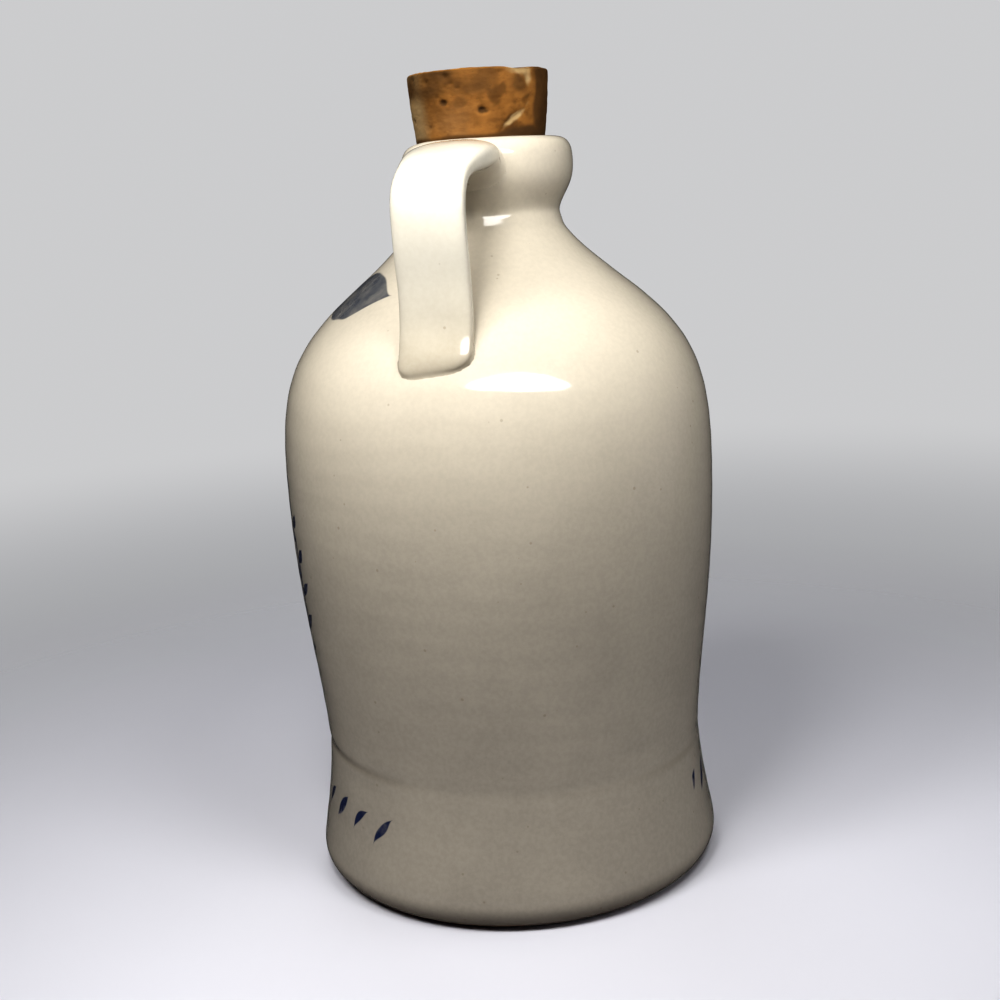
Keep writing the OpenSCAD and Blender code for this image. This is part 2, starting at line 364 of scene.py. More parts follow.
class JUG_PG_body(bpy.types.PropertyGroup):
    ring_depth: FloatProperty(
        name="Throwing rings", description="Depth of the soft rings left by the thrower's fingers",
        default=0.05 * MM, min=0, max=0.5 * MM, precision=5, unit="LENGTH")
    crease_depth: FloatProperty(
        name="Waist crease", description="Depth of the line pressed in at the waist",
        default=0.34 * MM, min=0, max=1 * MM, precision=5, unit="LENGTH")
    unround: FloatProperty(
        name="Out of round", description="Depth to which the wall wanders inside the true outline",
        default=0.16 * MM, min=0, max=1 * MM, precision=5, unit="LENGTH")
    thumb_depth: FloatProperty(
        name="Thumb mark", description="Depth to which the collar is pressed in beside the handle",
        default=4.6 * MM, min=0, max=5 * MM, precision=4, unit="LENGTH")
    glaze_line: FloatProperty(
        name="Glaze line", description="Height above the table where the glaze starts",
        default=2.1 * MM, min=0, max=8 * MM, precision=4, unit="LENGTH")
    cream: FloatVectorProperty(
        name="Glaze", description="Colour of the glaze", subtype="COLOR",
        default=(0.57, 0.519, 0.43), min=0, max=1)
    # The darker colour is also the painted shade low on the body
    shade: FloatVectorProperty(
        name="Thin glaze", description="Darker colour where the glaze is thin or mottled", subtype="COLOR",
        default=(0.275, 0.25, 0.213), min=0, max=1)
    clay: FloatVectorProperty(
        name="Bare clay", description="Colour of the clay under the foot", subtype="COLOR",
        default=(0.085, 0.05, 0.032), min=0, max=1)
    cobalt: FloatVectorProperty(
        name="Brushwork", description="Colour of the sprigs, the flower and the dabs", subtype="COLOR",
        default=(0.02, 0.027, 0.07), min=0, max=1)
    slate: FloatVectorProperty(
        name="Shoulder leaves", description="Colour of the broad leaves on the shoulder", subtype="COLOR",
        default=(0.06, 0.068, 0.085), min=0, max=1)


class JUG_PG_handle(bpy.types.PropertyGroup):
    root_fillet: FloatProperty(
        name="Upper fillet", description="Radius of the clay smoothed on where the strap leaves the collar",
        default=2.4 * MM, min=0.1 * MM, max=6 * MM, precision=4, unit="LENGTH")
    tip_fillet: FloatProperty(
        name="Lower fillet", description="Radius of the clay smoothed on round the lower end of the strap",
        default=0.8 * MM, min=0.1 * MM, max=6 * MM, precision=4, unit="LENGTH")
    tip_proud: FloatProperty(
        name="Tip proud", description="How far the lower end of the strap is lifted off the wall",
        default=1.2 * MM, min=0, max=3 * MM, precision=4, unit="LENGTH")
    tip_slant: FloatProperty(
        name="Tip slant", description="How much further the left corner of the lower end reaches",
        default=1.7 * MM, min=-3 * MM, max=3 * MM, precision=4, unit="LENGTH")
    waver: FloatProperty(
        name="Waver", description="Depth of the marks of the hand that pulled the strap",
        default=0.14 * MM, min=0, max=1 * MM, precision=5, unit="LENGTH")
    cream: FloatVectorProperty(
        name="Glaze", description="Colour of the glaze", subtype="COLOR",
        default=(0.61, 0.58, 0.505), min=0, max=1)
    # The darker colour is also the painted shade low on the strap
    shade: FloatVectorProperty(
        name="Thin glaze", description="Darker colour where the glaze is thin or mottled", subtype="COLOR",
        default=(0.4, 0.355, 0.28), min=0, max=1)


class JUG_PG_cork(bpy.types.PropertyGroup):
    pit_depth: FloatProperty(
        name="Pits", description="Depth of the deepest pits in the cork",
        default=1.3 * MM, min=0, max=3 * MM, precision=4, unit="LENGTH")
    bark: FloatVectorProperty(
        name="Cork", description="Main colour of the cork", subtype="COLOR",
        default=(0.15, 0.068, 0.016), min=0, max=1)
    worn: FloatVectorProperty(
        name="Fresh cork", description="Colour of chipped and scratched cork", subtype="COLOR",
        default=(0.33, 0.235, 0.12), min=0, max=1)
    # This colour is also the painted shade towards the top of the wall
    stain_and_shade: FloatVectorProperty(
        name="Stain", description="Colour of the dark side, the pits and the stained edges", subtype="COLOR",
        default=(0.07, 0.037, 0.014), min=0, max=1)


class JUG_PG_stage(bpy.types.PropertyGroup):
    lens: FloatProperty(
        name="Focal length", description="Focal length of the camera for a 36 mm sensor",
        default=50.4, min=20, max=200)
    strip_power: FloatProperty(
        name="Strip light", description="Power of the long light that the glaze mirrors",
        default=0.45, min=0, max=100, unit="POWER")
    key_power: FloatProperty(
        name="Key lights", description="Power of the strongest of the three soft lights above in front",
        default=0.86, min=0, max=100, unit="POWER")
    fill_power: FloatProperty(
        name="Fill lights", description="Power of the soft light on the right, which sets the other fills",
        default=0.43, min=0, max=100, unit="POWER")
    room_light: FloatProperty(
        name="Room light", description="Strength of the light from all sides",
        default=0.02, min=0, max=5)


def wall_marks(azimuth, height, sizes):
    """How far the outside lies inside its true outline, in metres, and the strength of the waist line: slow
    unevenness, fine helical rings, the pressed line, which isn't quite level, two soft dents beside it and a
    ridge low on the neck. All fade out at the foot and at the lip."""
    angle = np.radians(azimuth)
    around = np.stack([60 * MM * np.sin(angle), 60 * MM * np.cos(angle), height], -1)
    slow = sizes.unround * (0.5 + 0.5 * np.clip(soft_noise(around, 110 * MM, 3), -1, 1))
    wander = 1.3 * soft_noise(around, 50 * MM, 5)
    rings = sizes.ring_depth * (0.5 + 0.5 * np.sin(2 * np.pi * height / RING_STEP + angle + wander))
    (faded, faded_width, faded_share), (deeper, deeper_width, deeper_share) = WAIST_FADED, WAIST_DEEPER
    strength = 0.55 + 0.45 * np.clip(soft_noise(around, 50 * MM, 8), -1, 1)
    strength *= 1 - faded_share * bump_at(turn_gap(azimuth, faded), faded_width)
    strength += deeper_share * bump_at(turn_gap(azimuth, deeper), deeper_width)
    line = bump_at(height - WAIST_HEIGHT + WAIST_TILT * np.sin(angle), WAIST_LINE)
    crease = sizes.crease_depth * strength * line
    dents = sum(
        depth * bump_at(turn_gap(azimuth, centre), wide) * bump_at(height - up, tall)
        for centre, wide, up, tall, depth in DENTS)
    foot = np.clip(height / (4 * MM), 0, 1)
    lip = np.clip((LIP_HEIGHT - height) / (6 * MM), 0, 1)
    ridge_height, ridge_width, ridge_depth = NECK_RIDGE
    ridge = ridge_depth * (1 - np.clip((height - ridge_height) / ridge_width, -1, 1) ** 2) ** 2
    marks = (LEAST_MARK + slow + rings + crease + dents - ridge) * foot * lip
    return marks, strength * line * foot


def thumb_marks(azimuth, radius, height, sizes):
    """How far a thumb pressed the collar in and down beside the handle: the full depth at its widest, and
    less towards the inner edge of the lip, which stays where it is."""
    press = sizes.thumb_depth * bump_at(turn_gap(azimuth, THUMB_AZIMUTH), THUMB_WIDTH)
    up = height - THUMB_START
    inwards = press * ease(up / (11 * MM)) * np.clip((radius - 21.3 * MM) / (7.6 * MM), 0, 1)
    down = press * ease(up / (16 * MM)) * ease((radius - 20.7 * MM) / (4.6 * MM))
    return inwards, down


def body_material(sizes):
    """Glaze over clay, darker low down, in the waist line and near the foot, all three painted shade, brushed
    with sprigs and leaves, and ended by an uneven line above the bare clay of the foot."""
    finish = Finish("cream_stoneware_glaze")
    x, y, z = finish.parts(finish.place)
    # Painted shade: the glaze gets darker towards the foot, where less light falls
    painted_shade = faded_up(z, *SHADE_BANDS[0]) + faded_up(z, *SHADE_BANDS[1])
    colour, rough, skin = glazed(finish, sizes.cream, sizes.shade, painted_shade)
    # Painted shade in the pressed waist line
    colour = finish.mix(finish.held("crease") * 0.55, colour, WAIST_SHADE)
    # Painted shade on the rounded foot, which faces down
    colour = finish.mix(faded_up(z, *FOOT_BAND), colour, FOOT_SHADE)
    azimuth = x.call("ARCTAN2", -y)
    colour = finish.mix(brushwork(finish, azimuth, z), colour, sizes.cobalt)
    colour = finish.mix(shoulder_leaves(finish, azimuth, z), colour, sizes.slate)
    edge = z + (finish.noise(45.0, 1.0) - 0.5) * (1.6 * MM)
    bare = 1 - edge.rise(sizes.glaze_line - 0.15 * MM, sizes.glaze_line + 0.15 * MM)
    grit = finish.noise(900.0, 3.0, 0.7)
    clay = finish.mix(grit, sizes.clay, tuple(1.9 * c for c in sizes.clay))
    colour = finish.mix(bare, colour, clay)
    rough = rough + bare * (0.85 - rough)
    return glaze_surface(finish, colour, rough, skin + bare * grit * 2)


def leaf(along, across, length, width):
    """How far inside a leaf a place lies, below zero outside: a parabola over its length, drawn out at both
    tips."""
    share = along / length
    arch = share * (1 - share) * 4
    return arch * abs(arch) ** 0.35 * width - abs(across)


def brushed(inside, edge=0.25 * MM):
    """Mask of a brushed shape from how far inside it a place lies, with an edge soft to both sides."""
    return inside.rise(-edge, edge)


def turned(along, across, degrees):
    """Two distances in a frame that is turned by an angle."""
    cos, sin = math.cos(math.radians(degrees)), math.sin(math.radians(degrees))
    return along * cos + across * sin, across * cos - along * sin


def brushwork(finish, azimuth, z):
    """Mask of two sprigs that bow apart round a flower, and of dabs in a row above the foot. Soft noise on
    the distances makes the hand unsteady."""
    shaken, shaken_up, shaken_dab = finish.parts(finish.noise(70.0, 1.0, output="Color"))
    side = (azimuth - DECOR_AZIMUTH) * DECOR_RADIUS + (shaken - 0.5) * SHAKE
    high = z + (shaken_up - 0.5) * SHAKE
    mask = sprigs(side, high).most(flower(side, high - FLOWER_HEIGHT))
    mask = mask.most(dabs(finish, azimuth, high, (shaken_dab - 0.5) * (3 * MM)))
    return mask * (finish.noise(260.0).rise(0.2, 0.55) * 0.25 + 0.75)


def sprigs(side, high):
    """Mask of two stems, each half a sine wave from foot to tip, with leaves that branch off to both sides
    at even steps and get smaller upwards."""
    share = (high - STEM_FOOT) / STEM_HEIGHT
    there = share.rise(0.0, 0.02) * (1 - share.rise(0.98, 1.0))
    stem = (share * (0.82 * math.pi)).call("SINE") * STEM_BOW + 1.5 * MM
    aside = abs(side) - stem
    inner = 1 - aside.rise(-0.01 * MM, 0.01 * MM)
    step = (share * STEM_LEAVES + inner * 0.5).call("FRACT") * STEM_LEAF_STEP - 1.2 * MM
    along, across = turned(abs(aside), step, STEM_LEAF_TURN)
    size = 1 - share * 0.4
    leaves = brushed(leaf(along, across, *(size * full for full in STEM_LEAF)))
    return brushed(STEM_HALF - abs(aside)).most(leaves) * there


def flower(side, high):
    """Mask of a flower round the origin: petals as a cosine wave of the angle, an open ring, a dot."""
    petals = (side.call("ARCTAN2", high) * PETALS).call("COSINE") * 0.32 + 0.68
    centre = (side * side + high * high) ** 0.5
    open_petals = brushed(petals * PETAL_REACH - centre) * brushed(centre - FLOWER_RING)
    return open_petals.most(brushed(FLOWER_DOT - centre))


def dabs(finish, azimuth, high, shaken):
    """Mask of a row of short leaning strokes round the jug, left out below the handle. Each takes its
    height, bend and length from the random colour of its number."""
    turn = azimuth / (2 * math.pi) * DABS
    number = {"W": turn.call("FLOOR")}
    chance = finish.parts(finish.add("ShaderNodeTexWhiteNoise", {"noise_dimensions": "1D"}, number, "Color"))
    wide = (turn.call("FRACT") - 0.5) * (2 * math.pi * DAB_RADIUS / DABS) + shaken
    tall = high - DAB_HEIGHT - chance[0] * (2.5 * MM)
    stroke, beside = turned(wide, tall, DAB_TURN)
    beside = beside + stroke * stroke * (chance[1] * 50 - 5)
    long = chance[2] * (3.5 * MM) + 9 * MM
    degrees = azimuth * (180 / math.pi)
    handle_side = degrees.rise(-21, -20) * (1 - degrees.rise(79, 80))
    return brushed(leaf(stroke + long * 0.5, beside, long, DAB_WIDTH)) * (1 - handle_side)


def shoulder_leaves(finish, azimuth, z):
    """Mask of two broad leaves laid end to end along the shoulder."""
    shaken, shaken_up = finish.parts(finish.noise(60.0, 1.0, output="Color"))[:2]
    side = abs(azimuth - DECOR_AZIMUTH) * SHOULDER_RADIUS + (shaken - 0.5) * SHAKE
    high = z - SHOULDER_HEIGHT + (shaken_up - 0.5) * SHAKE - side * 0.03
    mask = brushed(leaf(side - 5 * MM, high, *SHOULDER_LEAF), 0.3 * MM)
    return mask * (finish.noise(160.0, 3.0, 0.6).rise(0.2, 0.7) * 0.25 + 0.72)


def ring_places(radius, height, azimuth):
    """Points at a distance from the axis and a height, at azimuths from -Y towards +X in degrees."""
    angle = np.radians(azimuth)
    return np.stack([radius * np.sin(angle), -radius * np.cos(angle), height + 0 * angle], -1)


class JUG_OT_body(bpy.types.Operator):
    """Makes the thrown body: the outline turned about the axis, with the marks of making on its outside"""

    bl_idname = "stoneware_jug.body"
    bl_label = "Make Body"

    def execute(self, context):
        sizes = context.scene.jug_body
        under, outside, inside = (chain(runs) for runs in (FOOT_RUNS, OUTSIDE_RUNS, INSIDE_RUNS))
        line = np.concatenate([under, outside, inside])[1:]
        normal = outline_normals(line)
        outer = np.zeros((len(line), 1))
        outer[len(under) - 1:len(under) + len(outside) - 1] = 1
        azimuth = np.arange(BODY_COLUMNS) * 360 / BODY_COLUMNS - 180
        across, up = np.meshgrid(azimuth, line[:, 1])
        marks, crease = wall_marks(across, up, sizes)
        marks, crease = marks * outer, crease * outer
        radius = line[:, :1] - marks * normal[:, :1]
        height = line[:, 1:] - marks * normal[:, 1:]
        inwards, down = thumb_marks(across, radius, height, sizes)
        rings = ring_places(radius - inwards, height - down, across)
        start, end = (0, 0, under[0, 1]), (0, 0, FLOOR_HEIGHT)
        # The crease value sets the painted shade in the waist line
        piece = closed_piece("glazed_body", rings, start, end, {"crease": crease})
        piece.data.materials.append(body_material(sizes))
        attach(piece, "jug")
        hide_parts("jug_body")
        return {"FINISHED"}


# Middle line of the strap in millimetres, from inside the collar to the lower tip
STRAP_RUNS = (
    ((19.25, 232.4), OUT, 0.68, (58.3, 215), DOWN, 0.3, 400),
    ((58.3, 215), DOWN, 0.4, (56, 193), DOWN, 0.4, 200),
    ((56, 193), DOWN, 0.4, (60.95, 172), TIP_DOWN, 0.4, 240),
)
STRAP_SIDES = 96
# Width, and thickness at the root, along the leg and at the tip
ROOT_WIDTH, LEG_WIDTH = 28 * MM, 22 * MM
ROOT_THICK, LEG_THICK, TIP_THICK = 10 * MM, 6.8 * MM, 5.4 * MM
# How square the section is: 2 is an ellipse, and more is squarer
ROOT_POWER, LEG_POWER = 2.3, 3.2
ROOT_LIFT, TIP_SLIDE = 0.45 * MM, 1.2 * MM
TIP_ROUND = 7 * MM
TOP_LIMIT = 237.9 * MM


def above_wall(points, sizes):
    """Signed distance of points to the marked outside of the jug, and the wall's normal under each: the
    distance to the nearest place of the outline, square to it, plus the depth of the marks there."""
    rows = chain(OUTSIDE_RUNS)
    between = np.arange(0, len(rows) - 1, 0.25)
    line = np.stack([np.interp(between, np.arange(len(rows)), rows[:, n]) for n in (0, 1)], 1)
    normal = outline_normals(line)
    flat = points.reshape(-1, 3)
    radius = np.hypot(flat[:, 0], flat[:, 1])
    spot = np.stack([radius, flat[:, 2]], -1)
    near = ((spot[:, None] - line[None]) ** 2).sum(-1).argmin(1)
    off = np.einsum("ij,ij->i", spot - line[near], normal[near])
    azimuth = np.degrees(np.arctan2(flat[:, 0], -flat[:, 1]))
    inwards, down = thumb_marks(azimuth, *line[near].T, sizes)
    off += wall_marks(azimuth, flat[:, 2], sizes)[0] + inwards * normal[near, 0] + down * normal[near, 1]
    outward = np.stack([flat[:, 0] / radius, flat[:, 1] / radius], 1) * normal[near, :1]
    wall = np.concatenate([outward, normal[near, 1:]], 1)
    return off.reshape(points.shape[:2]), wall.reshape(points.shape)


def strap_places(whole):
    """Distances along the strap of its rings, closer together near the wall and towards the rounded tip."""
    ends = (4 * MM, 14 * MM, whole - 26 * MM, whole - TIP_ROUND)
    even = [np.linspace(a, b, n, endpoint=False) for a, b, n in zip(ends, ends[1:], (130, 120, 110))]
    tip = whole - TIP_ROUND + TIP_ROUND * np.sin(np.linspace(0, np.pi / 2, 62))
    return np.concatenate([*even, tip])[:-1]


def strap_rings(sizes):
    """Rings of the strap, how far along its three runs each lies, and the depth of the marks of the hand.
    Each ring is a superellipse square to the middle line, wider and thicker at the root, rounded off towards
    the tip and slid along the strap by its slant."""
    line = chain(STRAP_RUNS)
    turn = np.concatenate([n + np.arange(run[-1]) / run[-1] for n, run in enumerate(STRAP_RUNS)])
    length = np.concatenate([[0], np.cumsum(np.linalg.norm(np.diff(line, axis=0), axis=1))])
    at = strap_places(length[-1])
    left = length[-1] - at
    middle = np.stack([np.interp(at, length, line[:, n]) for n in range(2)], 1)
    turn = np.interp(at, length, turn)
    along = np.stack([np.interp(at, length, np.gradient(line[:, n], length)) for n in range(2)], 1)
    along /= np.linalg.norm(along, axis=1)[:, None]
    outer = np.stack([-along[:, 1], along[:, 0]], 1)
    to_leg, to_end = ease(turn / 0.6), ease((turn - 2.2) / 0.8)
    middle += (sizes.tip_proud * to_end)[:, None] * outer
    middle[:, 1] += ROOT_LIFT * (1 - ease(turn / 0.5))
    width = ROOT_WIDTH + (LEG_WIDTH - ROOT_WIDTH) * to_leg
    width *= 0.72 + 0.28 * ease((at - 4 * MM) / (6 * MM))
    width *= (1 - (1 - np.clip(left / TIP_ROUND, 0, 1)) ** 3.2) ** (1 / 3.2)
    thick = ROOT_THICK + (LEG_THICK - ROOT_THICK) * to_leg + (TIP_THICK - LEG_THICK) * ease(turn - 2)
    angle = np.arange(STRAP_SIDES) * 2 * np.pi / STRAP_SIDES
    corner = 2 / (ROOT_POWER + (LEG_POWER - ROOT_POWER) * ease(at / (24 * MM)))[:, None]
    flat = np.sign(np.cos(angle)) * np.abs(np.cos(angle)) ** corner
    proud = np.sign(np.sin(angle)) * np.abs(np.sin(angle)) ** corner
    sideways = width[:, None] / 2 * flat
    reach = (0.6 + 0.9 * np.clip(0.5 - sideways / LEG_WIDTH, 0, 1)) * TIP_ROUND
    rounded = (1 - (1 - np.clip(left[:, None] / reach, 0, 1)) ** 2.2) ** (1 / 2.2)
    off = thick[:, None] / 2 * proud * rounded
    radial = middle[:, :1] + off * outer[:, :1]
    height = middle[:, 1:] + off * outer[:, 1:]
    rings = np.stack([sideways, -radial, height], -1)
    slant = (TIP_SLIDE - sizes.tip_slant * sideways / (LEG_WIDTH / 2)) * to_end[:, None]
    rings += slant[..., None] * np.stack([0 * at, -along[:, 0], along[:, 1]], 1)[:, None]
    hand = sizes.waver * 0.6 * (soft_noise(rings, 17 * MM, 11) - 1)
    return rings, turn, hand * np.clip(at / (20 * MM), 0, 1)[:, None]


def ring_normals(rings):
    """Unit normals of a closed tube of rings, from the steps along and round it."""
    along = np.gradient(rings, axis=0)
    around = np.roll(rings, -1, 1) - np.roll(rings, 1, 1)
    normal = np.cross(around, along)
    size = np.linalg.norm(normal, axis=-1, keepdims=True)
    return normal / np.maximum(size, 1e-12)


def handle_material(sizes, body):
    """Glaze of the strap: darker low down, a painted shade, and like the body's where the strap leaves the
    collar.
    """
    finish = Finish("cream_handle_glaze")
    # Painted shade: the glaze gets darker towards the lower end of the strap
    painted_shade = faded_up(finish.parts(finish.place)[2], *HANDLE_BAND)
    cream = finish.mix(finish.from_axis().rise(30 * MM, 40 * MM), body.cream, sizes.cream)
    return glaze_surface(finish, *glazed(finish, cream, sizes.shade, painted_shade))


class JUG_OT_handle(bpy.types.Operator):
    """Makes the strap: a rounded section carried along its middle line, flared on to the jug at both ends"""

    bl_idname = "stoneware_jug.handle"
    bl_label = "Make Handle"

    def execute(self, context):
        sizes, body = context.scene.jug_handle, context.scene.jug_body
        rings, turn, hand = strap_rings(sizes)
        normal = ring_normals(rings)
        centre = rings.mean(1, keepdims=True)
        if np.einsum("ijk,ijk->", normal, rings - centre) < 0:
            normal = -normal
        rings = rings + normal * hand[..., None]
        # The clay smoothed on: the surface is moved sideways along the wall, by a quarter circle of a fillet
        clear, wall = above_wall(rings, body)
        aside = normal - np.einsum("ijk,ijk->ij", normal, wall)[..., None] * wall
        lower = ease((turn - 1.5) / 0.5)[:, None]
        below, above = np.clip(-normal[..., 2], 0, 1), np.clip(normal[..., 2], 0, 1)
        root = sizes.root_fillet * (1 + 1.7 * below - 0.75 * above)
        fillet = root * (1 - lower) + sizes.tip_fillet * lower
        share = np.clip(1 - clear / fillet, 0, 1)
        flare = fillet * (1 - np.sqrt(1 - share**2))
        rings = rings + aside * flare[..., None]
        # It is then put back to its distance from the wall, which is curved, in three steps
        for _ in range(3):
            off, wall = above_wall(rings, body)
            rings = rings + wall * np.where(flare > 0, clear - off, 0)[..., None]
        rings[..., 2] = np.minimum(rings[..., 2], TOP_LIMIT)
        piece = closed_piece("strap_handle_glazed", rings, rings[0].mean(0), rings[-1].mean(0))
        piece.data.materials.append(handle_material(sizes, body))
        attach(piece, "jug")
        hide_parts("strap_handle")
        return {"FINISHED"}


# Outline of the cork in millimetres, and how many points it has round it
CORK_RUNS = (
    ((0, 220.6), OUT, 1 / 3, (18.08, 220.6), OUT, 1 / 3, 22),
    ((18.08, 220.6), OUT, 0.39, (19.08, 221.6), UP, 0.39, 6),
    ((19.08, 221.6), UP, 1 / 3, (22.12, 257.6), UP, 1 / 3, 96),
    ((22.12, 257.6), UP, 0.39, (21.12, 258.6), IN, 0.39, 7),
    ((21.12, 258.6), IN, 1 / 3, (0, 258.6), IN, 1 / 3, 40),
)
CORK_COLUMNS = 288
# Pits that show on the handle's side: azimuth in degrees, height, radius and share of the full depth
CORK_PITS = (
    (-14.3, 248.8, 0.85, 1.0), (18.3, 246.0, 0.95, 1.0), (21.5, 245.6, 0.6, 0.6), (-30.6, 255.2, 0.8, 0.5),
    (-11.0, 256.3, 0.9, 0.6), (-31.4, 242.0, 0.8, 0.35), (-0.9, 252.6, 0.5, 0.3), (-6.0, 254.0, 0.5, 0.4),
    (33.0, 256.6, 0.9, 0.3), (-20.0, 250.5, 0.6, 0.3), (47.0, 247.8, 0.7, 0.3), (-50.0, 256.5, 0.8, 0.4),
)
MORE_PITS = 95
# Other marks on the cork: azimuth and width in degrees, height and width up and down in millimetres
SCAR = (47, 13, 243.6, 1.35)
CHIP, CHIP_BELOW, FAR_CHIP = (52, 11, 258.2, 2.2), (61, 4, 255, 2.5), (190, 14, 258.4, 1.6)
RUBBED = (-10, 32, 241.5, 6.5)
# Azimuths between which the cork is dark, and those at which it starts and stops to be grey
DARK_SIDE, GREY_SIDE = (64, 118), (-28, -90)


def cork_pits(across, up, girth):
    """Depth of the pits as a share of the deepest: bell curves about 1.35 times as wide as high, those of
    the table and others strewn at random, smaller on the side that shows."""
    draw = np.random.default_rng(41)
    pits = list(CORK_PITS)
    for _ in range(MORE_PITS):
        azimuth, height = draw.uniform(-180, 180), draw.uniform(222, 258)
        shown = -55 < azimuth < 62 and height > 239
        wide = draw.uniform(0.25, 0.8) * (0.5 if shown else 1)
        pits.append((azimuth, height, wide, draw.uniform(0.1, 0.7) * (0.4 if shown else 1)))
    hole = np.zeros(across.shape)
    for azimuth, height, wide, share in pits:
        gap = np.hypot(turn_gap(across, azimuth) * girth / 1.35, up - height * MM)
        hole = np.maximum(hole, share * bump_at(gap, wide * MM))
    return hole


def cork_marks(across, up, radius, sizes):
    """Depth in metres and four masks from 0 to 1 for the cork: stains in the pits, on the dark side, at the
    lip and at the top edge, and painted shade towards the top of the wall; the pale scar and chips; a patch
    rubbed by the fingers; grey wear."""

    def patch(azimuth, wide, height, tall):
        """Soft spot round an azimuth in degrees and a height in millimetres."""
        return bump_at(turn_gap(across, azimuth), wide) * bump_at(up - height * MM, tall * MM)

    side = (np.abs(np.gradient(radius)) < 0.12 * MM)[:, None] * 1.0
    edge = ease((radius - 15 * MM) / (5 * MM))[:, None]
    spot = ring_places(radius[:, None], up, across)
    blotch, fine = soft_noise(spot, 12 * MM, 17), soft_noise(spot, 2.8 * MM, 19)
    hole = cork_pits(across, up, np.maximum(radius, 1e-5)[:, None] * np.pi / 180) * side
    from_scar = turn_gap(across, SCAR[0])
    scar_height = SCAR[2] + from_scar * 0.2 + (from_scar / 12) ** 3 * 0.9
    scar = bump_at(up - scar_height * MM, SCAR[3] * MM) * bump_at(from_scar, SCAR[1]) * side
    chip = patch(*CHIP) * edge + 0.8 * patch(*CHIP_BELOW) * side
    far_chip = patch(*FAR_CHIP) * edge
    pale = np.clip(scar + chip + far_chip + 0.25 * fine * (scar + chip), 0, 1)
    rubbed = patch(*RUBBED) * side * np.clip(0.8 + 0.5 * blotch, 0, 1)
    from_dark, past_dark = (turn_gap(across, azimuth) for azimuth in DARK_SIDE)
    dark_side = ease((from_dark + 2.4 * blotch) / 7) * (1 - ease(past_dark / 14))
    dark_side = np.where(from_dark > 100, 0, dark_side) * ease((radius - 16 * MM) / (4 * MM))[:, None]
    lip_height = (240.3 + 2.2 * ease(turn_gap(across, 28) / 18)) * MM
    lip_mark = ease((lip_height - up) / (2.2 * MM) + 0.2 * blotch) * 0.85
    lip_mark *= 1 - 0.75 * ease((LIP_HEIGHT - up) / (5 * MM) + 0.3 * blotch)
    # Painted shade: darker towards the top of the wall, most on the left
    painted_top_shade = 0.5 + 0.25 * bump_at(turn_gap(across, -40), 35) + 0.2 * blotch
    painted_top_shade = painted_top_shade * ease((up - 247 * MM) / (6 * MM)) * side * (1 - pale)
    rim = ease((up - 256.9 * MM) / (1.6 * MM)) * (0.35 + 0.3 * blotch) * side
    stain_and_shade = (hole * 1.5, dark_side * 0.7, lip_mark * side, rim, 0.3 * (blotch - 0.55), painted_top_shade)
    into_grey, past_grey = (-turn_gap(across, azimuth) for azimuth in GREY_SIDE)
    grey = ease(into_grey / 18) * (1 - ease(past_grey / 30)) * side
    depth = sizes.pit_depth * hole + 0.45 * MM * scar + 0.75 * MM * np.clip(chip, 0, 1) + 0.5 * MM * far_chip
    depth += 0.05 * MM * (1 + np.clip(fine, -1, 1)) + 0.08 * MM * (1 + np.clip(blotch, -1, 1))
    masks = {"stain_and_shade": np.maximum.reduce(stain_and_shade), "pale": pale, "rubbed": rubbed, "grey": grey}
    return depth, {label: np.clip(mask, 0, 1) for label, mask in masks.items()}


def cork_material(sizes):
    """Cork: warm and dark clouds, grain and small cells, under the masks that the mesh holds."""
    finish = Finish("natural_cork")
    grain = finish.noise(210.0, 4.0, 0.65, finish.mapped((1, 1, 1.5)))
    cloud = finish.noise(85.0, 3.0, 0.55)
    cell = finish.cells(520.0, finish.mapped((1, 1, 1.8)))
    patch = finish.noise(130.0, 2.0, 0.5, finish.mapped((1, 1, 1.3), (0.4, 0.2, 0.9)))
    layers = (
        (patch.rise(0.5, 0.68) * 0.65, DARK_CORK),
        (grain.rise(0.5, 0.78) * 0.45, tuple(0.45 * c for c in sizes.bark)),
        ((0.28 - cell).rise(0.0, 0.2) * 0.25, sizes.stain_and_shade),
        (finish.held("rubbed") * (0.9 - grain * 0.5), RUBBED_CORK),
        (finish.held("grey") * 0.75, GREY_CORK),
        ((finish.held("pale") * 1.2 - grain * 0.5).rise(0.0, 0.75), sizes.worn),
        # Stains, with painted shade towards the top of the wall
        (finish.held("stain_and_shade").rise(0.08, 0.95), sizes.stain_and_shade),
    )
    colour = finish.mix(cloud.rise(0.34, 0.62), tuple(0.72 * c for c in sizes.bark), WARM_CORK)
    for share, over in layers:
        colour = finish.mix(share, colour, over)
    relief = finish.bump(grain * 0.7 + cell * 0.5, 0.5, 0.4 * MM)
    return finish.surface(colour, grain * 0.15 + 0.75, relief, {"IOR": 1.45, "Specular IOR Level": 0.25})


class JUG_OT_cork(bpy.types.Operator):
    """Makes the cork: its outline turned about the axis, with pits, chips and a scar pressed in"""

    bl_idname = "stoneware_jug.cork"
    bl_label = "Make Cork"

    def execute(self, context):
        sizes = context.scene.jug_cork
        line = chain(CORK_RUNS)[1:]
        normal = outline_normals(line)
        azimuth = np.arange(CORK_COLUMNS) * 360 / CORK_COLUMNS - 180
        across, up = np.meshgrid(azimuth, line[:, 1])
        depth, masks = cork_marks(across, up, line[:, 0], sizes)
        radius = line[:, :1] - depth * normal[:, :1]
        height = line[:, 1:] - depth * normal[:, 1:]
        rings = ring_places(np.maximum(radius, 0.02 * MM), height, across)
        start, end = (0, 0, height[0].mean()), (0, 0, height[-1].mean())
        piece = closed_piece("natural_cork", rings, start, end, masks)
        piece.data.materials.append(cork_material(sizes))
        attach(piece, "cork")
        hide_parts("cork_stopper")
        return {"FINISHED"}


